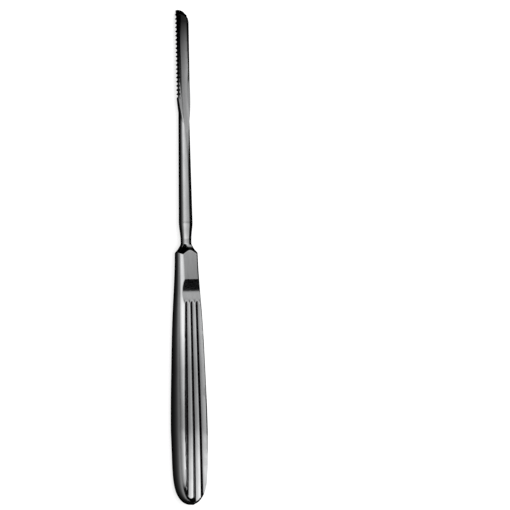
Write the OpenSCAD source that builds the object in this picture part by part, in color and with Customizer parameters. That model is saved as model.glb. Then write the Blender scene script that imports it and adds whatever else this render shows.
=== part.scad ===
// Surgical bone rasp, forged and ground in one piece: fluted grip, thumb scoops,
// bolster, round shank and a hollow blade with file teeth across its convex side.
// It is drawn along Y from the butt, thumb face up, then laid down as it rests.

/* [Grip] */
// Length from the butt to the lip of the thumb scoop
grip_l = 85; // [65:1:110]
// Distance from the butt to the widest and thickest part
belly_at = 31; // [22:1:40]
// Width at the widest part
belly_w = 16.1; // [13:0.1:20]
// Thickness at the thickest part
belly_t = 9.7; // [8:0.1:12]
// Radius of the lengthwise curve of the broad faces
face_r = 1800; // [1400:50:3000]
// Squareness of the butt in plan, as the power of its curve
butt_power = 4.2; // [3:0.1:5]
// Radius that rounds the butt off, seen from the side
butt_round = 3.5; // [2.5:0.1:4.2]

/* [Flutes] */
// Number of flutes on each broad face
flute_count = 3; // [1:1:3]
// Radius of a flute's hollow
flute_r = 2.4; // [2:0.1:3]
// Height of the flute floors above the axis at the butt
flute_butt_h = 4; // [3.7:0.01:4.3]
// Height of the flute floors above the axis at the scoop lip
flute_lip_h = 3.6; // [3.3:0.01:3.9]
// Distance between flute centres at the butt
flute_pitch_butt = 3.94; // [3.2:0.01:4.2]
// Distance between flute centres at the scoop lip
flute_pitch_lip = 2.79; // [2.3:0.01:3.1]

/* [Thumb scoop] */
// Length of the scoop, from its lip to its sharp upper edge
scoop_l = 10.5; // [8:0.1:13]
// Depth of the scoop below the line from its lip to its edge
scoop_depth = 0.65; // [0.4:0.01:0.9]

/* [Bolster] */
// Length of the plain faces between the scoop and the flare
bolster_l = 10.5; // [8:0.1:13]
// Width of the bolster where it meets the flare
bolster_w = 10.9; // [9.5:0.1:12.5]
// Thickness at the scoop's sharp upper edge
bolster_t = 6.5; // [5.8:0.1:7.4]
// Thickness where the bolster meets the flare
bolster_end_t = 5.7; // [5:0.1:6.4]
// Length of the flare from the bolster to the neck
flare_l = 6; // [5:0.1:7.5]
// Slope of the flare seen from the broad face, in degrees from the axis
flare_side_angle = 40; // [34:1:48]
// Slope of the flare seen from the side, in degrees from the axis
flare_face_angle = 16.7; // [13:0.1:20]

/* [Shank] */
// Diameter of the neck, the thinnest part of the shank
neck_d = 4.6; // [3.8:0.1:5.4]
// Length of the swell from the neck to the full shank
swell_l = 8; // [5:0.5:12]
// Diameter of the shank beyond the swell
shank_d = 5.76; // [5.2:0.01:6.8]
// Diameter of the shank where the blade begins
shank_tip_d = 4.66; // [4:0.01:5.4]
// Length from the neck to the beginning of the blade
shank_l = 49; // [35:1:70]
// Radius of the fillet between the neck and the flare
neck_fillet = 6; // [4:0.5:9]
// Length of the tapering flat ground on the thumb side of the shank
flat_l = 26; // [16:1:34]
// Height of that flat above the axis where the blade begins
flat_h = 1.95; // [1.6:0.01:2.2]

/* [Blade] */
// Length of the blade with its run-out into the shank
blade_l = 49; // [40:1:60]
// Width of the blade from horn to horn
blade_w = 6.5; // [5.6:0.1:7.6]
// Height of the blade from the horns down to its crown
blade_h = 2.9; // [2.5:0.1:3.2]
// Thickness of the blade in the middle of its hollow
blade_mid_t = 1.4; // [1.2:0.05:1.7]
// Width of the land along each horn
horn_land = 0.35; // [0.2:0.05:0.6]
// Length over which the tip slopes back from the crown to the horns
tip_l = 7.6; // [5:0.1:9]
// Length over which the flat falls from the shank to the horns
fall_l = 10; // [7:0.5:13]
// Radius of the hollow's run-out towards the shank
hollow_runout_r = 22; // [15:1:30]

/* [Teeth] */
// Number of grooves filed across the convex side
groove_count = 21; // [8:1:21]
// Distance from one tooth to the next
tooth_pitch = 1.774; // [1.4:0.001:1.8]
// Depth of the grooves between the teeth
tooth_depth = 0.72; // [0.5:0.01:0.85]
// Width left along the crest of each tooth
tooth_crest = 0.15; // [0.08:0.01:0.3]
// Distance from the tip to the middle of the first groove
first_groove = 1.4; // [1:0.1:2.5]
// Fall of the blade's back just behind the last tooth
last_tooth_fall = 0.37; // [0.2:0.01:0.6]
// Radius of the two lengthwise chip grooves
chip_r = 0.55; // [0.4:0.01:0.7]
// Depth of the chip grooves
chip_depth = 0.28; // [0.15:0.01:0.4]
// Distance from the middle to each chip groove
chip_at = 1.17; // [0.8:0.01:1.6]

/* [Hidden] */
$fn = 96;
steel = [0.58, 0.59, 0.6];
curve_steps = 24;

// Places along the tool, counted from the butt
scoop_edge = grip_l + scoop_l;
bolster_end = scoop_edge + bolster_l;
neck_at = bolster_end + flare_l;
blade_at = neck_at + shank_l;
overall_l = blade_at + blade_l;

// The blade's two arcs: the convex back and the hollow
back_r = (pow(blade_w / 2, 2) + pow(blade_h, 2)) / (2 * blade_h);
back_z = back_r - blade_h;
hollow_d = blade_h - blade_mid_t;
hollow_half = blade_w / 2 - horn_land;
hollow_r = (pow(hollow_half, 2) + pow(hollow_d, 2)) / (2 * hollow_d);
horn_from = blade_at + flat_l / 2;
last_tooth = overall_l - first_groove - (groove_count - 0.5) * tooth_pitch;

// The side surfaces turn about two lines that part at the butt
side_spread = (bolster_w / 2 - bolster_end_t / 2 + 0.2) / neck_at;
side_angle = atan(side_spread);
reach = belly_w;

// The tilt at which belly and blade both touch the ground
touch_s = overall_l - first_groove + tooth_pitch / 2 - belly_at;
touch_h = face_r - belly_t / 2 + blade_h;
rest_tilt = atan2(touch_s, touch_h)
    - acos(face_r / sqrt(pow(touch_s, 2) + pow(touch_h, 2)));
rest_drop = (touch_s + belly_at) * sin(rest_tilt) + blade_h * cos(rest_tilt);
rest_half = (overall_l * cos(rest_tilt) - blade_h * sin(rest_tilt)) / 2;

// Half width of the grip: a rounded butt, then half a cosine wave down to the neck
function half_width(s) = s < belly_at
    ? belly_w / 2 * sqrt(1 - pow((belly_at - s) / belly_at, butt_power))
    : bolster_w / 2 + (belly_w - bolster_w) / 4
        * (1 + cos(180 * min(1, (s - belly_at) / (neck_at - belly_at))));

// Half thickness of the grip along its curved broad faces
function half_thickness(s) = belly_t / 2 - pow(s - belly_at, 2) / (2 * face_r);

// Radius of the shank: a waist at the neck, a soft swell, then a long taper
function shank_radius(s) = s < neck_at + swell_l
    ? neck_d / 2 + (shank_d - neck_d) / 4 * (1 - cos(180 * (s - neck_at) / swell_l))
    : shank_d / 2 - (shank_d - shank_tip_d) / 2
        * (s - neck_at - swell_l) / (shank_l - swell_l);

// Lays a profile of radius and place along Y
module turned() {
    rotate([-90, 0, 0])
        rotate_extrude()
            children();
}

// Draws a side view of place and height, and carries it across the tool
module across(w) {
    rotate([90, 0, 90])
        linear_extrude(height = w, center = true)
            children();
}

// One rounded side of the grip, turned about its own slanting line
module grip_side() {
    top = neck_at;
    stations = [for (i = [0 : 2 * curve_steps]) let (k = i / (2 * curve_steps))
        k < 0.5 ? belly_at * (1 - cos(180 * k)) : belly_at + (top - belly_at) * (2 * k - 1)];
    outline = [for (s = stations)
        [half_width(s) * cos(side_angle) - s * sin(side_angle),
            half_width(s) * sin(side_angle) + s * cos(side_angle)]];
    rotate([0, 0, -side_angle])
        turned()
            polygon(concat([[0, outline[len(outline) - 1][1]]], [for (i = [len(outline) - 1 : -1 : 0]) outline[i]]));
}

// Side view of grip and bolster, one half, from the axis up
module grip_side_view() {
    corner_z = half_thickness(butt_round) - butt_round;
    stations = [for (i = [0 : curve_steps])
        butt_round + (grip_l - butt_round) * i / curve_steps];
    face = [for (s = stations) [s, half_thickness(s)]];
    polygon(concat(
        [[neck_at, -1], [butt_round, -1]],
        face,
        [[scoop_edge, bolster_t / 2], [bolster_end, bolster_end_t / 2], [neck_at, bolster_end_t / 2]]
    ));
    translate([butt_round, corner_z])
        circle(butt_round);
    translate([0, -1])
        square([butt_round, corner_z + 1]);
}

// The bolster is ground back to three cones that meet in the neck
module flare_envelope() {
    start = neck_at - neck_fillet * sin(flare_face_angle);
    start_r = neck_d / 2 + neck_fillet * (1 - cos(flare_face_angle));
    lobe_tilt = flare_side_angle - flare_face_angle + 4;
    lobe_l = flare_l + bolster_l;
    slope = tan(flare_face_angle);
    translate([0, start, 0])
        rotate([90, 0, 0])
            cylinder(h = lobe_l, r1 = start_r, r2 = start_r + lobe_l * slope);
    for (side = [-1, 1])
        translate([0, start + 0.6, 0])
            rotate([90, 0, side * lobe_tilt])
                cylinder(h = lobe_l, r1 = start_r - 0.5, r2 = start_r - 0.5 + lobe_l * slope * cos(lobe_tilt));
    translate([-reach, -reach, -reach])
        cube([2 * reach, bolster_end - 1.5 + reach, 2 * reach]);
}

// The forged blank of grip and bolster
module grip_blank() {
    intersection() {
        union() {
            grip_side();
            mirror([1, 0, 0])
                grip_side();
            linear_extrude(height = belly_t, center = true)
                polygon([[0, 1], [-side_spread * neck_at, neck_at], [side_spread * neck_at, neck_at]]);
        }
        across(2 * reach)
            union() {
                grip_side_view();
                mirror([0, 1])
                    grip_side_view();
            }
        flare_envelope();
    }
}

// One flute: a straight round hollow that fans out towards the butt
module flute(offset) {
    fan = atan((flute_pitch_butt - flute_pitch_lip) / grip_l);
    rise = atan((flute_butt_h - flute_lip_h) / grip_l);
    translate([offset * flute_pitch_butt, 0, flute_butt_h + flute_r])
        rotate([0, 0, offset * fan])
            rotate([-90 - rise, 0, 0])
                translate([0, 0, -butt_round])
                    cylinder(r = flute_r, h = grip_l + scoop_l / 2 + butt_round);
}

// The flutes of the thumb face
module flutes() {
    for (i = [0 : flute_count - 1])
        flute(i - (flute_count - 1) / 2);
}

// The thumb scoop, a round hollow across the tool
module thumb_scoop() {
    lip = [grip_l, half_thickness(grip_l)];
    edge = [scoop_edge, bolster_t / 2];
    middle = (lip + edge) / 2;
    half_chord = norm(edge - lip) / 2;
    scoop_r = (pow(half_chord, 2) + pow(scoop_depth, 2)) / (2 * scoop_depth);
    outward = [lip[1] - edge[1], edge[0] - lip[0]] / (2 * half_chord);
    centre = middle + outward * (scoop_r - scoop_depth);
    across(2 * reach)
        translate(centre)
            circle(scoop_r);
}

// Grip and bolster with their flutes and scoops on both broad faces
module grip() {
    difference() {
        grip_blank();
        flutes();
        thumb_scoop();
        mirror([0, 0, 1]) {
            flutes();
            thumb_scoop();
        }
    }
}

// The turned shank with its neck, before the flat is ground
module shank_round() {
    start = neck_at - neck_fillet * sin(flare_face_angle);
    fillet = [for (i = [0 : 6]) let (a = flare_face_angle * (1 - i / 6))
        [neck_d / 2 + neck_fillet * (1 - cos(a)), neck_at - neck_fillet * sin(a)]];
    swell = [for (i = [1 : curve_steps]) let (s = neck_at + swell_l * i / curve_steps)
        [shank_radius(s), s]];
    core_r = neck_d / 2 - 0.1;
    turned()
        polygon(concat(
            [[0, scoop_edge], [core_r, scoop_edge], [core_r, start]],
            fillet,
            swell,
            [[shank_tip_d / 2, blade_at], [shank_tip_d / 2, horn_from + fall_l], [0, horn_from + fall_l]]
        ));
}

// The blade's convex back, which rises gently out of the shank
module blade_blank() {
    runout_r = shank_tip_d / 2 - 0.15;
    intersection() {
        translate([0, 0, back_z])
            turned()
                polygon([
                    [0, blade_at],
                    [runout_r, blade_at],
                    [back_r - last_tooth_fall, last_tooth - tooth_pitch / 2],
                    [back_r, last_tooth],
                    [back_r, overall_l],
                    [0, overall_l]
                ]);
        translate([-reach, 0, -2 * reach])
            cube([2 * reach, overall_l, 2 * reach]);
    }
}

// Side view of shank and blade: the tapering flat, its fall to the horns, the tip
module blade_side_view() {
    fall_at = horn_from;
    fall_end = horn_from + fall_l;
    fall_r = (pow(fall_l, 2) + pow(flat_h, 2)) / (2 * flat_h);
    fall = [for (i = [0 : 12]) let (a = asin(fall_l / fall_r) * i / 12)
        [fall_at + fall_r * sin(a), flat_h - fall_r * (1 - cos(a))]];
    tip = [for (i = [0 : 20]) let (a = 90 * i / 20)
        [overall_l - tip_l + tip_l * sin(a), -blade_h * (1 - cos(a))]];
    polygon(concat(
        [[scoop_edge, -reach], [scoop_edge, reach], [blade_at - flat_l / 2, reach],
            [blade_at - flat_l / 2, shank_d / 2]],
        fall,
        tip,
        [[overall_l, -reach]]
    ));
}

// The hollow of the blade, with a curved run-out towards the shank
module hollow() {
    floor_at = horn_from + fall_l;
    translate([0, floor_at, hollow_r - hollow_d])
        rotate([-90, 0, 0])
            cylinder(r = hollow_r, h = blade_l);
    translate([0, floor_at, hollow_r - hollow_d + hollow_runout_r])
        rotate([0, 90, 0])
            rotate([0, 0, 0])
                rotate_extrude(angle = -60)
                    translate([hollow_runout_r, 0])
                        circle(hollow_r);
}

// The file teeth: grooves cut round the convex back, from horn to horn
module tooth_grooves() {
    mouth = tooth_pitch - tooth_crest;
    over = 0.3;
    half_over = mouth / 2 * (tooth_depth + over) / tooth_depth;
    for (i = [0 : groove_count - 1])
        translate([0, overall_l - first_groove - i * tooth_pitch, back_z])
            turned()
                polygon([[back_r - tooth_depth, 0], [back_r + over, -half_over], [back_r + over, half_over]]);
}

// Two chip grooves along the convex back
module chip_grooves() {
    out = back_r - chip_depth + chip_r;
    for (side = [-1, 1])
        translate([side * chip_at * out / back_r, blade_at, back_z - sqrt(pow(out, 2) - pow(chip_at * out / back_r, 2))])
            rotate([-90, 0, 0])
                cylinder(r = chip_r, h = blade_l + 1, $fn = 48);
}

// Shank and blade
module shank_and_blade() {
    difference() {
        intersection() {
            union() {
                shank_round();
                blade_blank();
            }
            across(2 * reach)
                blade_side_view();
        }
        hollow();
        tooth_grooves();
        chip_grooves();
    }
}

// The whole tool, laid on the ground on its belly and the crown of its blade
module rasp() {
    color(steel)
        translate([0, -rest_half, rest_drop])
            rotate([-rest_tilt, 0, 0])
                union() {
                    grip();
                    shank_and_blade();
                }
}

rasp();
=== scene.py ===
"""A surgical bone rasp of ground and polished steel, lying on a pale floor under a soft studio light."""

import math

import bpy
import numpy as np
from mathutils import Matrix, Vector


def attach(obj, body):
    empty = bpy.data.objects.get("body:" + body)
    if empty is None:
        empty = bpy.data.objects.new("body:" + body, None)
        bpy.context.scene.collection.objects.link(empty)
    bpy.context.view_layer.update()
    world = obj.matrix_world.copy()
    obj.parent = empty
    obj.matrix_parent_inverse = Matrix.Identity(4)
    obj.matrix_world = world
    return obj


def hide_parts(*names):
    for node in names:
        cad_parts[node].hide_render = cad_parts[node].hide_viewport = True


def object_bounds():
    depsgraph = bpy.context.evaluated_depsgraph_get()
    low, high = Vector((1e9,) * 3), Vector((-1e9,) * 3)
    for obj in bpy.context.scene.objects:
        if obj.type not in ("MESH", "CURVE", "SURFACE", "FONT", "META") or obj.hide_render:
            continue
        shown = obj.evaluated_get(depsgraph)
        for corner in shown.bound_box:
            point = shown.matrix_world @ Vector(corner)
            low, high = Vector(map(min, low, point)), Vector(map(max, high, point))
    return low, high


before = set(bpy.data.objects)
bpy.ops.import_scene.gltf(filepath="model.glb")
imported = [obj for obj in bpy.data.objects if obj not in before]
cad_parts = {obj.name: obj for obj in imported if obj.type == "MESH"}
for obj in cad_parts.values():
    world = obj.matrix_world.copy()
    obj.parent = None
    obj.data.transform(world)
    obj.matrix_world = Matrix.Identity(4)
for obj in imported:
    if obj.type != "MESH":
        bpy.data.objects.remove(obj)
cad_low, cad_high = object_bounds()
MM = 0.001


class Socket:
    """A node's output that takes part in sums, so that shader maths reads as an expression."""

    def __init__(self, tree, link):
        self.tree, self.link = tree, link

    def maths(self, operation, *others, clamp=False):
        return self.tree.node("ShaderNodeMath", {"operation": operation, "use_clamp": clamp}, (self, *others))

    def __add__(self, other):
        return self.maths("ADD", other)

    def __sub__(self, other):
        return self.maths("SUBTRACT", other)

    def __mul__(self, other):
        return self.maths("MULTIPLY", other)

    def __truediv__(self, other):
        return self.maths("DIVIDE", other)

    def __rsub__(self, other):
        return self.tree.node("ShaderNodeMath", {"operation": "SUBTRACT"}, (other, self))

    __radd__, __rmul__ = __add__, __mul__

    def power(self, other):
        return self.maths("POWER", other)

    def smoothly(self, start, end):
        """0 up to start, 1 from end on, and a smooth step between them."""
        settings = {"interpolation_type": "SMOOTHSTEP"}
        return self.tree.node("ShaderNodeMapRange", settings, {"Value": self, "From Min": start, "From Max": end})


class Tree:
    """The nodes of one material or of the world."""

    def __init__(self, owner):
        owner.use_nodes = True
        self.tree = owner.node_tree
        self.tree.nodes.clear()

    def node(self, kind, settings=None, inputs=(), output=0):
        """Adds a node, gives it its settings and then the values or links of its sockets."""
        made = self.tree.nodes.new(kind)
        for name, value in (settings or {}).items():
            if name == "stops":
                self.set_stops(made.color_ramp.elements, value)
            else:
                setattr(made, name, value)
        pairs = inputs.items() if isinstance(inputs, dict) else enumerate(inputs)
        for name, value in pairs:
            if isinstance(value, Socket):
                self.tree.links.new(value.link, made.inputs[name])
            else:
                made.inputs[name].default_value = value
        return Socket(self, made.outputs[output]) if len(made.outputs) else made

    @staticmethod
    def set_stops(elements, stops):
        while len(elements) < len(stops):
            elements.new(1)
        for element, (place, level) in zip(elements, stops):
            element.position, element.color = place, (level, level, level, 1)

    def split(self, vector):
        """The three parts of a vector."""
        first = self.node("ShaderNodeSeparateXYZ", {}, (vector,))
        return [Socket(self, output) for output in first.link.node.outputs]


# The tool's form, in millimetres: s runs from the butt to the tip, x across, z out of the thumb face

GRIP_L, BELLY_AT, BELLY_W, BELLY_T, FACE_R, BUTT_POWER, BUTT_ROUND = 85, 31, 15.9, 9.7, 1800, 4.9, 3.3
FLUTE_R, FLUTE_PITCH_BUTT, FLUTE_PITCH_LIP = 2.4, 3.94, 2.79
FLUTE_FLOOR = ([-4, 10, 31, 85, 100], [3.62, 3.82, 3.98, 3.6, 3.5])
SCOOP_EDGE, SCOOP_DEPTH, BOLSTER_T = 95.5, 0.68, 6.8
BOLSTER_W, BOLSTER_END_T, NECK_AT, SIDE_SPREAD = 10.4, 5.66, 112, 0.018
FLARE_AT = 110.6
NECK_D, SWELL_L, SHANK_D, SHANK_TIP_D, BLADE_AT = 4.6, 8, 5.86, 4.72, 161
FLAT_H, BLADE_W, BLADE_H, HORN_Z, OVERALL_L, TIP_L = 1.95, 6.5, 2.9, 0.3, 210, 6
HOLLOW_DEPTH, HORN_LAND, HOLLOW_MIDDLE, HOLLOW_WHEEL_R = 1.45, 0.35, 203, 300
TOOTH_COUNT, TOOTH_PITCH, TOOTH_DEPTH, TOOTH_CREST, FIRST_GROOVE = 21, 1.774, 0.78, 0.2, 1.4
BACK_R = ((BLADE_W / 2) ** 2 + (BLADE_H + HORN_Z) ** 2) / (2 * (BLADE_H + HORN_Z))
BACK_Z = BACK_R - BLADE_H
HOLLOW_HALF = BLADE_W / 2 - HORN_LAND
HOLLOW_R = (HOLLOW_HALF ** 2 + HOLLOW_DEPTH ** 2) / (2 * HOLLOW_DEPTH)
LAST_GROOVE = OVERALL_L - FIRST_GROOVE - (TOOTH_COUNT - 1) * TOOTH_PITCH


def wave(s, start, end, low, high):
    """Half a cosine wave: low up to start, high from end on."""
    k = np.clip((s - start) / (end - start), 0, 1)
    return low + (high - low) * (1 - np.cos(np.pi * k)) / 2


def softly_less(a, b, soft):
    """The smaller of two distances, rounded over where they meet within soft of each other."""
    meet = np.clip(1 - np.abs(a - b) / soft, 0, 1)
    return np.minimum(a, b) - meet ** 2 * soft / 4


def half_width(s):
    """A rounded butt, w sqrt(1 - (distance from the belly / its length) ^ power), then half a cosine wave."""
    butt = np.clip((BELLY_AT - s) / BELLY_AT, 0, 1)
    rear = BELLY_W / 2 * np.sqrt(np.clip(1 - butt ** BUTT_POWER, 0, 1)) * (1 - 0.037 * np.sin(np.pi * butt))
    k = np.clip((s - BELLY_AT) / (NECK_AT - BELLY_AT), 0, 1)
    front = BOLSTER_W / 2 + (BELLY_W - BOLSTER_W) / 4 * (1 + np.cos(np.pi * k)) + 0.45 * np.sin(np.pi * k ** 1.3) ** 3
    return np.where(s < BELLY_AT, rear, front)


def broad_face(s):
    """Height of the broad faces: a corner arc at the butt, a long arc, the thumb scoop's arc, two slopes."""
    face = BELLY_T / 2 - (s - BELLY_AT) ** 2 / (2 * FACE_R)
    corner = BELLY_T / 2 - (BUTT_ROUND - BELLY_AT) ** 2 / (2 * FACE_R) - BUTT_ROUND
    butt = corner + np.sqrt(np.clip(BUTT_ROUND ** 2 - (BUTT_ROUND - s) ** 2, 0, None))
    lip = BELLY_T / 2 - (GRIP_L - BELLY_AT) ** 2 / (2 * FACE_R)
    k = np.clip((s - GRIP_L) / (SCOOP_EDGE - GRIP_L), 0, 1)
    scoop = lip + (BOLSTER_T / 2 - lip) * k - 4 * SCOOP_DEPTH * k * (1 - k)
    bolster = BOLSTER_T / 2 - (s - SCOOP_EDGE) * (BOLSTER_T - BOLSTER_END_T) / 2 / 10.5
    height = np.where(s < BUTT_ROUND, butt, face)
    height = np.where(s > GRIP_L, scoop, height)
    return np.where(s > SCOOP_EDGE, bolster, height)


def shank_radius(s):
    """The neck, a swell of half a cosine wave, then a straight taper."""
    taper = SHANK_D / 2 - (SHANK_D - SHANK_TIP_D) / 2 * (s - NECK_AT - SWELL_L) / (BLADE_AT - NECK_AT - SWELL_L)
    return np.where(s < NECK_AT + SWELL_L, wave(s, NECK_AT, NECK_AT + SWELL_L, NECK_D / 2, SHANK_D / 2), taper)


def flare_reach(s, angle):
    """The ground shoulder: an ellipse that grows out of the round neck, faster sideways than upwards."""
    away = np.clip(FLARE_AT - s, 0, None)
    wide = NECK_D / 2 + 0.5 * away + 0.09 * away ** 2
    high = NECK_D / 2 + 0.068 * away ** 2
    return 1 / np.sqrt((np.cos(angle) / wide) ** 2 + (np.sin(angle) / high) ** 2)


def blade_top(s):
    """Height of the flat on the shank, its fall to the horns, and the slope of the tip."""
    flat = FLAT_H + (BLADE_AT + 2 - s) * 0.039
    fall = wave(s, BLADE_AT - 1, BLADE_AT + 20, 0, 1)
    tip = np.clip((s - OVERALL_L + TIP_L) / TIP_L, 0, 1)
    return flat * (1 - fall) + HORN_Z * fall - (BLADE_H + HORN_Z) * tip ** 2.1


def hollow_lift(s):
    """How far the wheel's rim has left the full depth of the hollow, before and behind its middle."""
    behind = np.clip(HOLLOW_MIDDLE - s, 0, None)
    before = np.clip(s - HOLLOW_MIDDLE, 0, None)
    return behind ** 2 / (2 * HOLLOW_WHEEL_R) + before ** 2 / (2 * HOLLOW_WHEEL_R)


def back_radius(s):
    """The blade's convex back, which swells out of the shank up to the third tooth."""
    return wave(s, BLADE_AT - 4, LAST_GROOVE + 3, SHANK_TIP_D / 2 - 0.5, BACK_R)


def out_of_disc(angle, x, z, radius):
    """Distance along a ray from the middle line to where it leaves a disc that holds its start."""
    along = x * np.cos(angle) + z * np.sin(angle)
    return along + np.sqrt(np.clip(along ** 2 - x ** 2 - z ** 2 + radius ** 2, 0, None))


def up_to_disc(angle, x, z, radius):
    """Distance along a ray to where it enters a disc that lies outside its start, or far away."""
    along = x * np.cos(angle) + z * np.sin(angle)
    square = along ** 2 - x ** 2 - z ** 2 + radius ** 2
    hit = (square > 0) & (along > 0)
    return np.where(hit, along - np.sqrt(np.clip(square, 0, None)), FAR)


def up_to_level(angle, height):
    """Distance along a ray to a level above its start, or far away where it points down."""
    up = np.sin(angle)
    return np.where(up > 1e-6, height / np.maximum(up, 1e-6), FAR)


FAR = 50.0


def middle_height(s):
    """Height of the line that the section's rays start from; in the blade it runs inside the crescent."""
    top = np.minimum(blade_top(s), hollow_lift(s) + HORN_Z - HOLLOW_DEPTH)
    inside = (np.minimum(top, 0.0) - BLADE_H) / 2
    return np.where(s < BLADE_AT + 12, wave(s, BLADE_AT - 12, BLADE_AT + 12, 0, -1.9), np.minimum(-1.9, inside))


def side_and_top(s, angle):
    """Distances from the middle line to the tool's round sides and to its top and bottom cuts."""
    side = np.full(angle.shape, FAR)
    cuts = np.full(angle.shape, FAR)
    spread = SIDE_SPREAD * s
    folded = np.abs(np.arctan2(np.sin(angle), np.abs(np.cos(angle))))
    grip_side = out_of_disc(folded, spread, 0, half_width(s) - spread)
    grip_side = np.where(grip_side * np.cos(folded) < spread, FAR, grip_side)
    face = np.minimum(up_to_level(angle, broad_face(s)), up_to_level(-angle, broad_face(s)))
    pitch = FLUTE_PITCH_BUTT + (FLUTE_PITCH_LIP - FLUTE_PITCH_BUTT) * s / GRIP_L
    bottom = np.interp(s, *FLUTE_FLOOR) + FLUTE_R
    flutes = np.full(angle.shape, FAR)
    for place in (-1, 0, 1):
        for up in (-1, 1):
            flutes = np.minimum(flutes, up_to_disc(angle, place * pitch, up * bottom, FLUTE_R))
    flutes = np.where(s < SCOOP_EDGE - 3, flutes, FAR)
    in_grip = s < NECK_AT - 0.5
    grip_cuts = softly_less(face, flutes, 0.12)

    middle = middle_height(s)
    shank = out_of_disc(angle, 0, -middle, shank_radius(s))
    back = out_of_disc(angle, 0, BACK_Z - middle, np.maximum(back_radius(s), 0.5))
    shank = np.where(s > BLADE_AT + 18, 0, shank)
    rod = np.where(s > BLADE_AT - 5, np.maximum(shank, back), shank)
    top = up_to_level(angle, blade_top(s) - middle)
    hollow = up_to_disc(angle, 0, HOLLOW_R + HORN_Z - HOLLOW_DEPTH + hollow_lift(s) - middle, HOLLOW_R)
    rod_cuts = np.where(s > BLADE_AT - 20, softly_less(top, hollow, 0.06), FAR)
    side = np.where(in_grip, grip_side, rod)
    cuts = np.where(in_grip, grip_cuts, rod_cuts)
    return side, cuts, np.where(in_grip & (s > 96), flare_reach(s, angle), FAR)


def tooth_places():
    """Stations along the toothed part: each groove's middle and edges with three steps on each flank."""
    mouth = (TOOTH_PITCH - TOOTH_CREST) / 2
    steps = np.array([-1, -0.66, -0.33, 0, 0.33, 0.66, 1]) * mouth
    grooves = LAST_GROOVE + TOOTH_PITCH * np.arange(TOOTH_COUNT)
    return (grooves[:, None] + steps).ravel()


def groove_depth(s):
    """A sharp V at each groove's middle, which ends in the crests between the grooves."""
    mouth = (TOOTH_PITCH - TOOTH_CREST) / 2
    nearest = np.clip(np.round((s - LAST_GROOVE) / TOOTH_PITCH), 0, TOOTH_COUNT - 1)
    off = np.abs(s - LAST_GROOVE - nearest * TOOTH_PITCH)
    return TOOTH_DEPTH * np.clip(1 - off / mouth, 0, 1)


def stations():
    """Places along the tool, close together where its form turns fast."""
    butt = 10 * (1 - np.cos(np.linspace(0.08, np.pi / 2, 34)))
    runs = [butt, np.linspace(10, 84.9, 56)[1:], np.linspace(GRIP_L, SCOOP_EDGE, 22),
            np.linspace(SCOOP_EDGE + 0.12, 102, 6), np.linspace(102.4, NECK_AT - 0.55, 44),
            np.linspace(NECK_AT - 0.45, 121, 22), np.linspace(122, 155, 20), np.linspace(156, 171, 22),
            tooth_places(), np.linspace(209.4, OVERALL_L - 0.02, 6)]
    places = np.unique(np.round(np.concatenate(runs), 4))
    return places[(places > 0) & (places < OVERALL_L)]


def corner_angle(s):
    """The angle at which each section's round side ends and its cuts begin."""
    sweep = np.linspace(0.02, np.pi / 2 - 0.03, 1500)[None, :]
    side, cuts, _ = side_and_top(s[:, None], np.repeat(sweep, len(s), 0))
    ends = np.argmax(cuts < side, axis=1)
    ends = np.where((cuts < side).any(1), ends, sweep.shape[1] - 1)
    corner = sweep[0, ends]
    before, after = s < 103, s > NECK_AT + 3
    return np.interp(s, s[before | after], corner[before | after])


def rasp_surface():
    """The whole tool as one closed skin: round each station a ring of rays runs out to the nearest surface.

    The rings' points are spaced between the section's corners and ridges, so that every edge runs along one
    line of the grid. The grooves then press the convex back in towards its own axis, deepest at the crown and
    fading out at the horns.
    """
    s = stations()
    corner = corner_angle(s)[:, None]
    side_steps, top_steps = 36, 66
    k = np.linspace(0, 1, side_steps, endpoint=False)[None, :]
    m = np.linspace(0, 1, top_steps, endpoint=False)[None, :]
    right = corner * k
    top = corner + (np.pi - 2 * corner) * m
    left = np.pi - corner + corner * k
    upper = np.concatenate([right, top, left], axis=1)
    along = s[:, None]
    angle = np.concatenate([upper, upper + np.pi], axis=1)
    in_flutes = (along > 1) & (along < 95)
    pitch = FLUTE_PITCH_BUTT + (FLUTE_PITCH_LIP - FLUTE_PITCH_BUTT) * along / GRIP_L
    floor = np.interp(along, *FLUTE_FLOOR)
    ridge_z = np.minimum(floor + FLUTE_R - np.sqrt(FLUTE_R ** 2 - (pitch / 2) ** 2), broad_face(along))
    ridge = np.arctan2(ridge_z, pitch / 2)
    third = top_steps // 3
    lay = np.concatenate([corner + (ridge - corner) * np.linspace(0, 1, third, endpoint=False),
                          ridge + (np.pi - 2 * ridge) * np.linspace(0, 1, third, endpoint=False),
                          np.pi - ridge + (ridge - corner) * np.linspace(0, 1, third, endpoint=False)], axis=1)
    share = wave(along, 95, 104, 1, 0) * wave(along, 0, 3, 0, 1)
    top = top * (1 - share) + lay * share
    upper = np.concatenate([right, top, left], axis=1)
    angle = np.concatenate([upper, upper + np.pi], axis=1)

    side, cuts, flare = side_and_top(along, angle)
    reach = softly_less(softly_less(side, cuts, 0.16), flare, 0.2)
    x = reach * np.cos(angle)
    z = reach * np.sin(angle) + middle_height(along)

    out_x, out_z = x, z - BACK_Z
    out = np.hypot(out_x, out_z)
    turn = np.arctan2(-out_z, np.abs(out_x))
    on_back = (side <= cuts + 0.02) & (along > BLADE_AT)
    fade = np.clip((turn - math.radians(2)) / math.radians(30), 0, 1)
    press = groove_depth(along) * fade * (1 + 0.5 * np.cos(turn) ** 2) * on_back * wave(along, LAST_GROOVE - 1, LAST_GROOVE, 0, 1)
    press = np.minimum(press, out * 0.5)
    x, z = x * (1 - press / out), BACK_Z + out_z * (1 - press / out)
    y = np.repeat(along, angle.shape[1], 1)
    return np.stack([x, y, z], axis=2)


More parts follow.
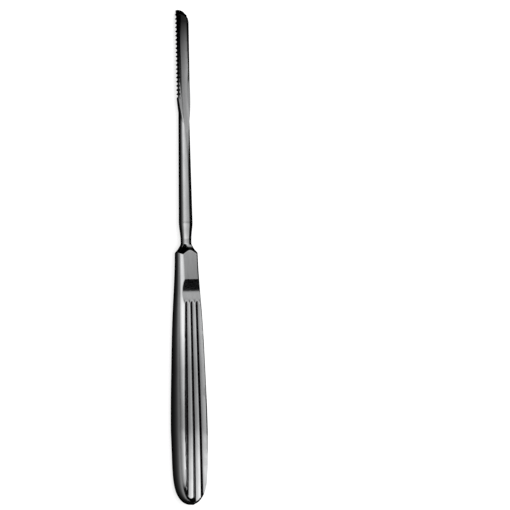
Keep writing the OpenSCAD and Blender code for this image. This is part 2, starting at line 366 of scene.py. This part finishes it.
def at_rest(points):
    """Turns the drawn tool about X until its belly and the crown of its blade touch the ground."""
    reach = OVERALL_L - FIRST_GROOVE + TOOTH_PITCH / 2
    away, up = reach - BELLY_AT, FACE_R - BELLY_T / 2 + BLADE_H
    tilt = math.atan2(away, up) - math.acos(FACE_R / math.hypot(away, up))
    half = (OVERALL_L * math.cos(tilt) - BLADE_H * math.sin(tilt)) / 2
    drop = reach * math.sin(tilt) + BLADE_H * math.cos(tilt)
    x, y, z = np.moveaxis(points, -1, 0)
    turned = [x, y * math.cos(tilt) + z * math.sin(tilt) - half, z * math.cos(tilt) - y * math.sin(tilt) + drop]
    return np.stack(turned, axis=-1) * MM


def closed_skin(name, rings):
    """A mesh from rings of points, each joined to the next, with a point that closes either end."""
    count, size = rings.shape[:2]
    ends = rings[[0, -1]].mean(axis=1)
    points = np.concatenate([rings.reshape(-1, 3), ends])
    ring = np.arange(size)
    start = np.arange(count - 1)[:, None] * size
    here, there = start + ring, start + np.roll(ring, -1)
    quads = np.stack([here, there, there + size, here + size], axis=-1).reshape(-1, 4)
    last = (count - 1) * size
    first_cap = np.stack([np.roll(ring, -1), ring, np.full(size, count * size)], axis=-1)
    last_cap = np.stack([last + ring, last + np.roll(ring, -1), np.full(size, count * size + 1)], axis=-1)
    mesh = bpy.data.meshes.new(name)
    mesh.from_pydata(points.tolist(), [], quads.tolist() + first_cap.tolist() + last_cap.tolist())
    mesh.polygons.foreach_set("use_smooth", np.ones(len(mesh.polygons), bool))
    mesh.set_sharp_from_angle(angle=math.radians(32))
    piece = bpy.data.objects.new(name, mesh)
    bpy.context.scene.collection.objects.link(piece)
    return piece


# Camera

VIEW_TURN = math.radians(38)
VIEW_ROLL = math.radians(-0.6)
FRAME_SPAN = 216 * MM
VIEW_DISTANCE = 1.5
MIDDLE_ASIDE = 28.6 * MM
MIDDLE_ABOVE = 0.85 * MM


def add_camera():
    """Looks down on the thumb face from its left at the photograph's angle; the tool is left of the middle."""
    back = Vector((-math.sin(VIEW_TURN), 0, math.cos(VIEW_TURN)))
    right = Vector((0, 1, 0)).cross(back)
    turn = Matrix((right, Vector((0, 1, 0)), back)).transposed() @ Matrix.Rotation(VIEW_ROLL, 3, "Z")
    middle = (cad_low + cad_high) / 2 + turn @ Vector((MIDDLE_ASIDE, MIDDLE_ABOVE, 0))
    camera = bpy.data.objects.new("camera", bpy.data.cameras.new("camera"))
    camera.data.lens = camera.data.sensor_width * VIEW_DISTANCE / FRAME_SPAN
    camera.matrix_world = Matrix.Translation(middle + back * VIEW_DISTANCE) @ turn.to_4x4()
    bpy.context.scene.collection.objects.link(camera)
    bpy.context.scene.camera = camera


# Floor and light

ACROSS = [(0, 0.001), (57, 0.002), (64, 0.55), (92, 0.7), (108, 0.8), (130, 1.02), (150, 1.12), (160, 0.8), (170, 0.42),
          (180, 0.2)]
ALONG = [(-26, 0), (-18, 0.9), (-4, 1.4), (-2.2, 1.2), (-1, 0.68), (1.2, 0.68), (2.8, 1.3), (19, 1.1), (25, 0)]
FRONT_CARD = [(4.7, 0), (5.9, 0.7), (19, 0.6), (25, 0)]


def along_stops(stops):
    """Ramp stops from degrees towards the tip, -40 to 40, and a level up to 1.4."""
    return [(degrees / 80 + 0.5, level / 1.4) for degrees, level in stops]


def light_world():
    """The soft light that the metal mirrors: bands of light over the tool, by the angle across and along it."""
    world = bpy.data.worlds.new("studio")
    bpy.context.scene.world = world
    tree = Tree(world)
    x, y, z = tree.split(tree.node("ShaderNodeTexCoord"))
    angle = tree.node("ShaderNodeMath", {"operation": "ARCTAN2"}, (z, x)) / math.pi
    stops = [(degrees / 180, level / 1.4) for degrees, level in ACROSS]
    across = tree.node("ShaderNodeValToRGB", {"stops": stops}, (angle,)) * 1.4
    lean = tree.node("ShaderNodeMath", {"operation": "ARCSINE"}, (y,)) * (180 / math.pi / 80) + 0.5
    along = tree.node("ShaderNodeValToRGB", {"stops": along_stops(ALONG)}, (lean,)) * 1.4
    card = tree.node("ShaderNodeValToRGB", {"stops": along_stops(FRONT_CARD)}, (lean,)) * 1.4
    level = tree.node("ShaderNodeMath", {"operation": "MAXIMUM"}, (across * along, card * x.smoothly(-0.7, 0) * (1 - x.smoothly(0.68, 0.8) * (1 - y.smoothly(0.14, 0.19)))))
    level = level * z.smoothly(-0.02, 0.02)
    path = tree.node("ShaderNodeLightPath")
    glossy = Socket(tree, path.link.node.outputs["Is Glossy Ray"])
    camera = Socket(tree, path.link.node.outputs["Is Camera Ray"])
    plain = 0.55
    strength = glossy * level + camera + (1 - glossy) * (1 - camera) * plain
    light = tree.node("ShaderNodeBackground", {}, {"Color": (1, 1, 1, 1), "Strength": strength})
    tree.node("ShaderNodeOutputWorld", {}, (light,))


def add_floor():
    """A plain pale floor, which keeps the tool's shadow; mirrored in the metal it shows painted shade, dim and darkest
    close to the tool.
    """
    half = 3
    mesh = bpy.data.meshes.new("floor")
    mesh.from_pydata([(-half, -half, 0), (half, -half, 0), (half, half, 0), (-half, half, 0)], [], [(0, 1, 2, 3)])
    floor = bpy.data.objects.new("floor", mesh)
    bpy.context.scene.collection.objects.link(floor)
    material = bpy.data.materials.new("pale floor")
    mesh.materials.append(material)
    tree = Tree(material)
    path = tree.node("ShaderNodeLightPath")
    camera = Socket(tree, path.link.node.outputs["Is Camera Ray"])
    mirrored = tree.node("ShaderNodeMath", {"operation": "MAXIMUM"}, (
        Socket(tree, path.link.node.outputs["Is Glossy Ray"]),
        Socket(tree, path.link.node.outputs["Is Transmission Ray"])))
    x, y, z = tree.split(tree.node("ShaderNodeTexCoord", {}, (), output=3))
    # Painted shade in the floor's reflection: mirrored in the metal the floor is dim, darkest close to the tool
    away = (0 - x).smoothly(0.005, 0.045)
    plain = tree.node("ShaderNodeBsdfDiffuse", {}, {"Color": (0.6, 0.6, 0.6, 1)})
    glow = tree.node("ShaderNodeEmission", {}, {"Color": (1, 1, 1, 1), "Strength": camera * 0.7})
    seen = tree.node("ShaderNodeAddShader", {}, (plain, glow))
    dim = tree.node("ShaderNodeEmission", {}, {"Color": (1, 1, 1, 1), "Strength": 0.005 + away * 0.3})
    both = tree.node("ShaderNodeMixShader", {}, (mirrored, seen, dim))
    tree.node("ShaderNodeOutputMaterial", {}, (both,))


def add_lamp():
    """One large soft lamp above the tool, a little to its left."""
    lamp = bpy.data.lights.new("softbox", "AREA")
    lamp.shape, lamp.size, lamp.energy = "DISK", 0.8, 4
    holder = bpy.data.objects.new("softbox", lamp)
    holder.location = (-0.35, 0.1, 1.1)
    holder.rotation_euler = (Vector((0, 0, 0)) - holder.location).to_track_quat("-Z", "Y").to_euler()
    holder.visible_glossy = False
    bpy.context.scene.collection.objects.link(holder)


# Painted shade along the tool: the steel's colour by s in mm, darkest towards the tip, standing in for how bright its
# reflections are
PAINTED_SHADE_ALONG = [(0, 1), (18, 0.95), (33, 0.62), (58, 0.66), (74, 0.98), (84, 1), (90, 0.78), (108, 0.85), (125, 0.66),
             (160, 0.76), (171, 0.63), (182, 0.47), (188, 0.35), (195, 0.22), (201, 0.1), (205, 0.03)]


def steel():
    """Ground and polished steel, its grain along the tool; painted shade in its colour darkens it towards the tip,
    round the blade's rim with a dark bead at each tooth, and on the ground shoulder.
    """
    material = bpy.data.materials.new("steel")
    tree = Tree(material)
    place = tree.node("ShaderNodeTexCoord", {}, (), output=3)
    x, y, z = tree.split(place)
    grain_place = tree.node("ShaderNodeMapping", {}, {"Vector": place, "Scale": (4000, 60, 4000)})
    grain = tree.node("ShaderNodeTexNoise", {}, {"Vector": grain_place, "Scale": 1.0, "Detail": 3.0})
    cloud_place = tree.node("ShaderNodeMapping", {}, {"Vector": place, "Scale": (500, 160, 500)})
    cloud = tree.node("ShaderNodeTexNoise", {}, {"Vector": cloud_place, "Scale": 1.0, "Detail": 2.0})
    # Painted shade along the tool, from the table above
    tip = [((s - 105) / 210 + 0.5, level) for s, level in PAINTED_SHADE_ALONG]
    shade = tree.node("ShaderNodeValToRGB", {"stops": tip}, (y / (OVERALL_L * MM) + 0.5,))
    # Painted shade round the blade's rim: its left and right edges darkened, with a dark bead painted at each tooth
    wide = tree.node("ShaderNodeMath", {"operation": "ABSOLUTE"}, (x,))
    phase = (y - (LAST_GROOVE - 104.98) * MM) * (2 * math.pi / (TOOTH_PITCH * MM))
    tooth_bead_shade = tree.node("ShaderNodeMath", {"operation": "COSINE"}, (phase,)) * (0.28 * MM)
    left = (0 - x).smoothly(0, 0.1 * MM)
    left_rim_shade = (wide - tooth_bead_shade).smoothly(2.1 * MM, 2.45 * MM) * left * y.smoothly(66 * MM, 69 * MM)
    right_rim_shade = wide.smoothly(2.35 * MM, 2.6 * MM) * (1 - left) * y.smoothly(71 * MM, 86 * MM)
    rim = left_rim_shade + right_rim_shade
    # Painted shade on the ground shoulder where the flare meets the neck
    s, turned = y / MM + 104.98, (z - 5.28 * MM) / MM
    away = FLARE_AT - s
    wide_r, high_r = NECK_D / 2 + 0.5 * away + 0.09 * away * away, NECK_D / 2 + 0.068 * away * away
    across, upward = x / MM / wide_r, (turned + s * 0.01134) / high_r
    shoulder = (across * across + upward * upward).smoothly(0.93, 0.975) * away.smoothly(0.9, 1.7) * (4.9 - away).smoothly(0, 0.2)
    shade = shade * (1 - rim * 0.96) * (1 - shoulder * 0.97) * (cloud * 0.3 + 0.85)
    colour = tree.node("ShaderNodeMix", {"data_type": "RGBA"}, {
        0: shade, 6: (0, 0, 0, 1), 7: (0.66, 0.665, 0.67, 1)}, output=2)
    bump = tree.node("ShaderNodeBump", {}, {"Strength": 0.05, "Distance": 0.00002, "Height": grain})
    look = tree.node("ShaderNodeBsdfPrincipled", {}, {
        "Base Color": colour, "Metallic": 1.0, "Roughness": grain * 0.06 + 0.09,
        "Specular Tint": (0.2, 0.2, 0.2, 1), "Normal": bump})
    tree.node("ShaderNodeOutputMaterial", {}, (look,))
    return material


add_camera()
light_world()
add_floor()
add_lamp()

tool = closed_skin("rasp_body", at_rest(rasp_surface()))
tool.data.materials.append(steel())
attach(tool, "root")
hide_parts("rasp")

bpy.context.scene.view_settings.view_transform = "Standard"
